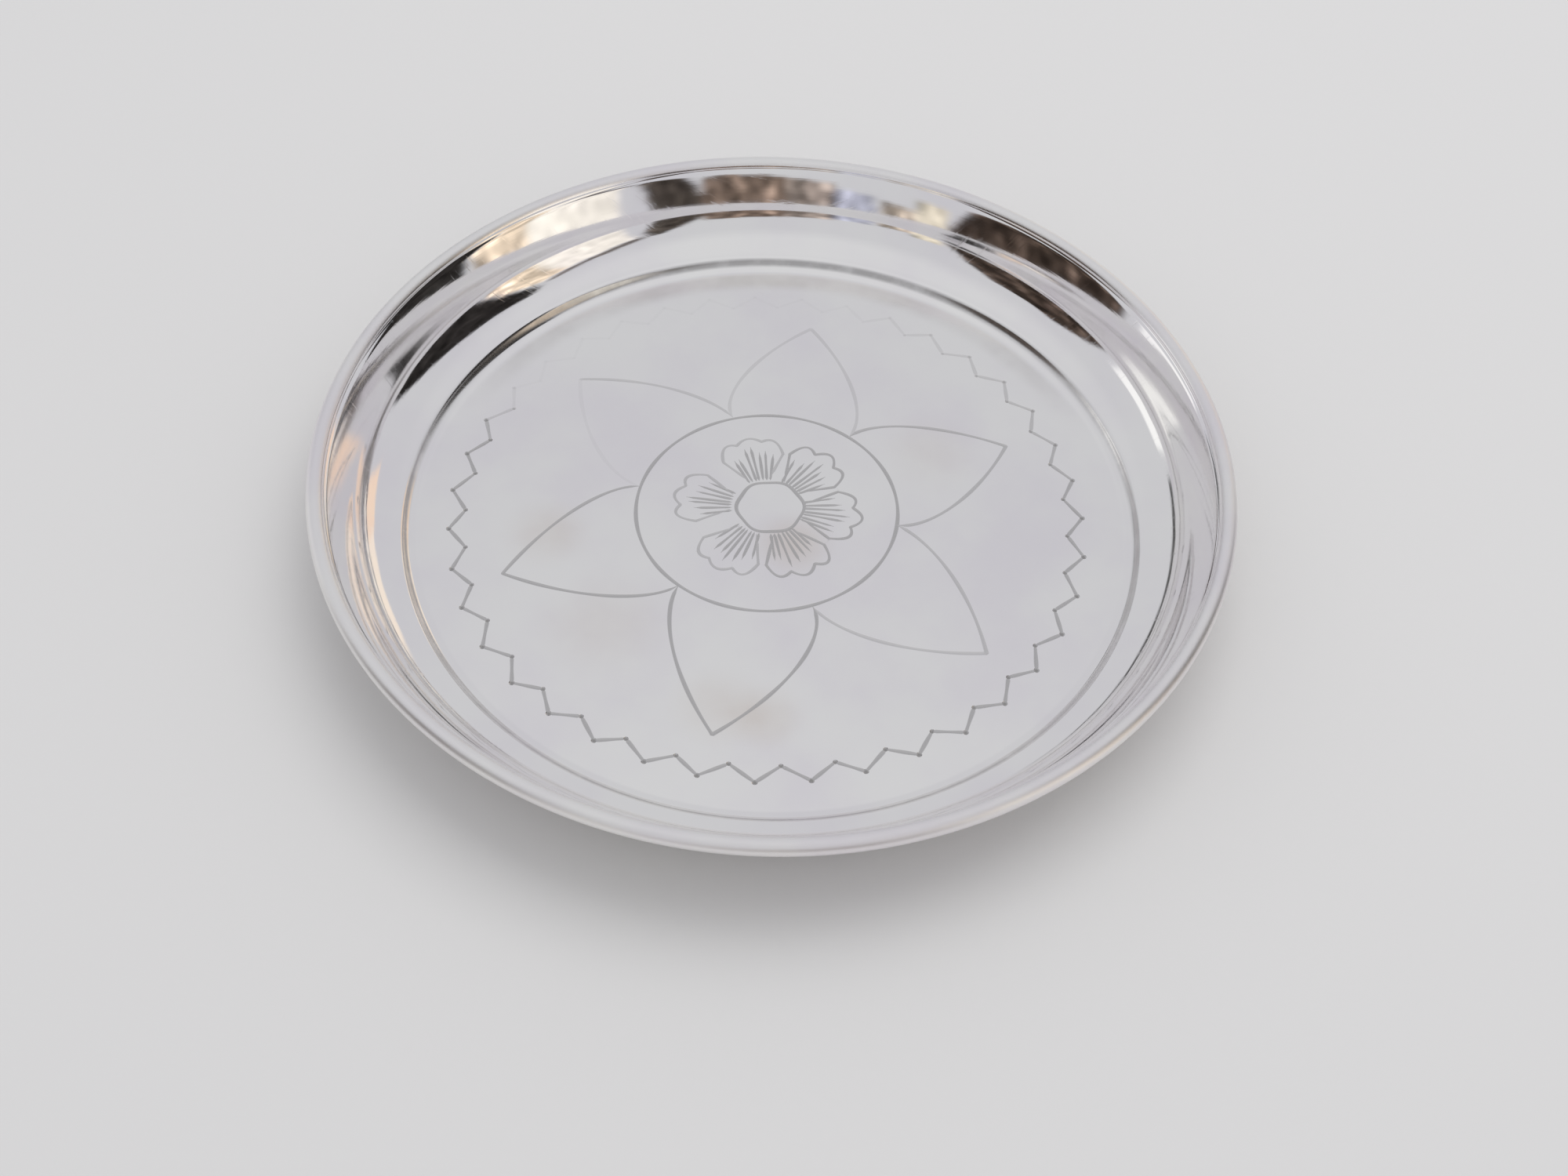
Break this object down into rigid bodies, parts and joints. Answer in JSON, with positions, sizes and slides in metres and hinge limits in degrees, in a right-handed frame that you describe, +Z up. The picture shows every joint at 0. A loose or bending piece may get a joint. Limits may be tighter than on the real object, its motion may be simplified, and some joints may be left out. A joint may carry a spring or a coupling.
{
  "type": "puja thali",
  "caption": "Round polished silver offering plate: flat sunken floor engraved with a lotus and a zigzag border, flared wall, rim rolled outward over a wire. Stands flat and holds offerings.",
  "frame": {"origin": "centre of the flat underside, on the plate's axis", "axes": "+Z up along the plate's axis; +Y away from the viewer of the picture, +X to the viewer's right"},
  "size_m": [0.2034, 0.2034, 0.022],
  "materials": {
    "silver_sheet": "hand-polished silver, satin floor with engraved lines, fine wiping scratches",
    "silver_wire": "drawn silver wire, unpolished"
  },
  "bodies": {
    "root": {"dish": "silver_sheet", "rim_wire": "silver_wire"}
  },
  "joints": []
}
